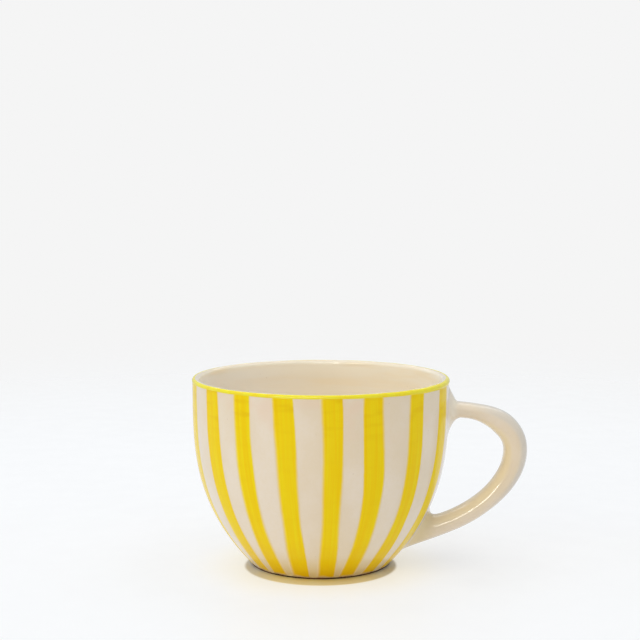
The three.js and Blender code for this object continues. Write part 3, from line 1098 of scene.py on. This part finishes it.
def thinned_edge(material, place, brush, colour):
    """The paint thins out towards a stripe's edge, over more or less of its width, in mm."""
    ragged = material.maths("MULTIPLY", material.noise(place, scale=700, detail=2), 0.25)
    painted = material.maths("SUBTRACT", material.marked("edge_distance"), ragged)
    reach = material.noise(material.stretched(brush, (90, 14, 1)), scale=1.0, detail=2)
    reach = material.ranged(reach, (0.38, 0.62), (0.8, 2.2))
    bare = material.ranged(material.maths("DIVIDE", painted, reach), (1, 0))
    return material.mix(material.maths("MULTIPLY", bare, bare), colour, CREAM)


def yellow_brushwork():
    """Brushed colour: its streaks also show in the relief and the shine."""
    material = Material("yellow_brushwork")
    brush = material.node("ShaderNodeUVMap", uv_map="brush").outputs["UV"]
    place = material.place()
    strokes = material.stretched(brush, (1500, 26, 1))
    streaks = material.noise(strokes, scale=1.0, detail=3, roughness=0.6)
    colour = brushed_yellow(material, place, brush, streaks)
    colour = thinned_edge(material, place, brush, colour)
    roughness = material.ranged(streaks, (0.3, 0.7), (0.12, 0.2))
    normal = material.bump(streaks, STREAK_DEPTH, glaze_normal(material, place))
    material.set_shader("Specular IOR Level", YELLOW_SPECULAR)
    return material.finish(colour, roughness, normal)


def rim_brushwork():
    """A lighter yellow than the stripes', partly painted light on the lip's rounding, with theirs in
    patches and along its lower edge.
    """
    material = Material("rim_brushwork")
    place = material.place()
    load = material.noise(place, scale=260, detail=3)
    colour = material.mix(material.ranged(load, (0.45, 0.7), (0, 0.5)), RIM_YELLOW_AND_LIGHT, YELLOW)
    lower_edge = (CUP_HEIGHT - 0.9 * MM, CUP_HEIGHT - 2 * MM)
    below = material.ranged(material.component(place, "Z"), lower_edge, (0, 0.35))
    colour = material.mix(below, colour, YELLOW)
    roughness = material.ranged(load, (0.3, 0.7), (0.12, 0.2))
    material.set_shader("IOR", RIM_IOR)
    return material.finish(colour, roughness, glaze_normal(material, place))


def bare_clay():
    """Bare clay, painted very dark as the shade in the gap under the foot, with a pale grain."""
    material = Material("bare_clay")
    place = material.place()
    grain = material.noise(place, scale=2600, detail=4, roughness=0.7)
    patches = material.noise(place, scale=240, detail=3)
    colour = material.mix(material.ranged(patches, (0.35, 0.65)), CLAY_PAINTED_SHADE, CLAY_DARK_PAINTED_SHADE)
    colour = material.mix(material.ranged(grain, (0.55, 0.75), (0, 0.12)), colour, CREAM)
    roughness = material.ranged(grain, (0.3, 0.7), (0.75, 0.95))
    material.set_shader("Specular IOR Level", CLAY_SPECULAR)
    return material.finish(colour, roughness, material.bump(grain, CLAY_GRAIN_DEPTH))


def shade_tint(material, place, away):
    """The shade round the foot: yellow from the stripes, paler outwards and grey at the sides."""
    tint = material.mix(material.ranged(away, SHADE_PALING), SHADE_YELLOW, SHADE_PALE)
    sideways = material.maths("ABSOLUTE", material.component(place, "X"), 0)
    return material.mix(material.ranged(sideways, SHADE_GREYING), tint, SHADE_GREY)


def table_glow(material, place, away):
    """How strongly the table glows, as painted light: least in the painted shade, and less in a
    painted shadow by the handle.
    """
    glow = material.ranged(away, TABLE_GLOW_EDGE, TABLE_GLOW)
    shade = material.ranged(away, SHADE_GLOW_EDGE, (SHADE_GLOW, 1))
    glow = material.maths("MULTIPLY", glow, shade)
    by_handle = material.distance(place, HANDLE_SHADE_PLACE)
    by_handle = material.ranged(by_handle, HANDLE_SHADE_EDGE, (HANDLE_SHADE, 1))
    return material.maths("MULTIPLY", glow, by_handle)


def table_top():
    """A pale table that glows with painted light except in the painted shade round the foot, fading
    into the studio's white.
    """
    material = Material("table_top")
    place = material.place()
    away = material.distance(place)
    clouds = material.noise(place, scale=14, detail=2)
    open_colour = material.mix(clouds, TABLE_GREY, TABLE_GREY_LIGHT)
    tint = shade_tint(material, place, away)
    colour = material.mix(material.ranged(away, SHADE_EDGE), tint, open_colour)
    light = material.mix(material.ranged(away, HALO_EDGE), HALO_LIGHT, TABLE_LIGHT)
    material.feed(material.shader.inputs["Emission Color"], light)
    glow = table_glow(material, place, away)
    material.feed(material.shader.inputs["Emission Strength"], glow)
    material.feed(material.shader.inputs["Alpha"], material.ranged(away, TABLE_FADE))
    material.set_shader("IOR", TABLE_IOR)
    dulling = material.noise(place, scale=60, detail=3)
    roughness = material.ranged(dulling, (0.3, 0.7), (0.36, 0.42))
    return material.finish(colour, roughness, material.bump(clouds, TABLE_CLOUD_DEPTH))


# --- Studio --------------------------------------------------------------------------------------


def build_camera():
    data = bpy.data.cameras.new("camera")
    data.lens = CAMERA_LENS
    data.sensor_width = CAMERA_SENSOR
    data.clip_start = CAMERA_NEAREST
    camera = bpy.data.objects.new("camera", data)
    camera.location = CAMERA_PLACE
    camera.rotation_euler = (math.radians(90 - CAMERA_TILT), 0, 0)
    bpy.context.scene.collection.objects.link(camera)
    bpy.context.scene.camera = camera


def build_table():
    corners = [(-1, -1), (1, -1), (1, 1), (-1, 1)]
    vertices = [(x * TABLE_HALF, y * TABLE_HALF, 0) for x, y in corners]
    table = make_object("table", vertices, [(0, 1, 2, 3)])
    table.location = (CUP_AXIS_X, -SHADE_SHIFT, 0)
    table.data.materials.append(table_top())


def build_light(box):
    data = bpy.data.lights.new(box.name, "AREA")
    data.shape = "RECTANGLE"
    data.size = box.width
    data.size_y = box.height
    data.energy = box.power
    data.color = box.colour
    light = bpy.data.objects.new(box.name, data)
    light.location = box.location
    aim = Vector(box.target) - Vector(box.location)
    light.rotation_euler = aim.to_track_quat("-Z", "Y").to_euler()
    light.visible_glossy = box.mirrored
    light.visible_diffuse = not box.mirrored
    bpy.context.scene.collection.objects.link(light)


def build_world():
    """White all round: what the camera sees is brighter and less cool than what lights the mug."""
    world = bpy.data.worlds.new("studio")
    world.use_nodes = True
    nodes, links = world.node_tree.nodes, world.node_tree.links
    path = nodes.new("ShaderNodeLightPath")
    shade = nodes.new("ShaderNodeMix")
    shade.data_type = "RGBA"
    shade.inputs[MIX_START].default_value = STUDIO_LIGHT
    shade.inputs[MIX_END].default_value = STUDIO_SEEN
    links.new(path.outputs["Is Camera Ray"], shade.inputs[MIX_SHARE])
    links.new(shade.outputs[MIX_RESULT], nodes["Background"].inputs["Color"])
    bpy.context.scene.world = world
    bpy.context.scene.view_settings.view_transform = "Standard"


# --- The mug -------------------------------------------------------------------------------------


def coat(piece, material):
    """Gives a piece its material, and tells the frame its body and the record's material slot."""
    piece.data.materials.append(material)
    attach(piece, "root")


def build_mug():
    cream = cream_glaze()
    yellow = yellow_brushwork()
    coat(build_cup(), cream)
    for piece in build_handle_and_joints():
        coat(piece, cream)
    for index, stripe in enumerate(STRIPES):
        coat(build_stripe(index, stripe), yellow)
    coat(build_rim_line(), rim_brushwork())
    coat(build_foot_clay(), bare_clay())


build_camera()
build_mug()
build_table()
for softbox in SOFTBOXES:
    build_light(softbox)
build_world()
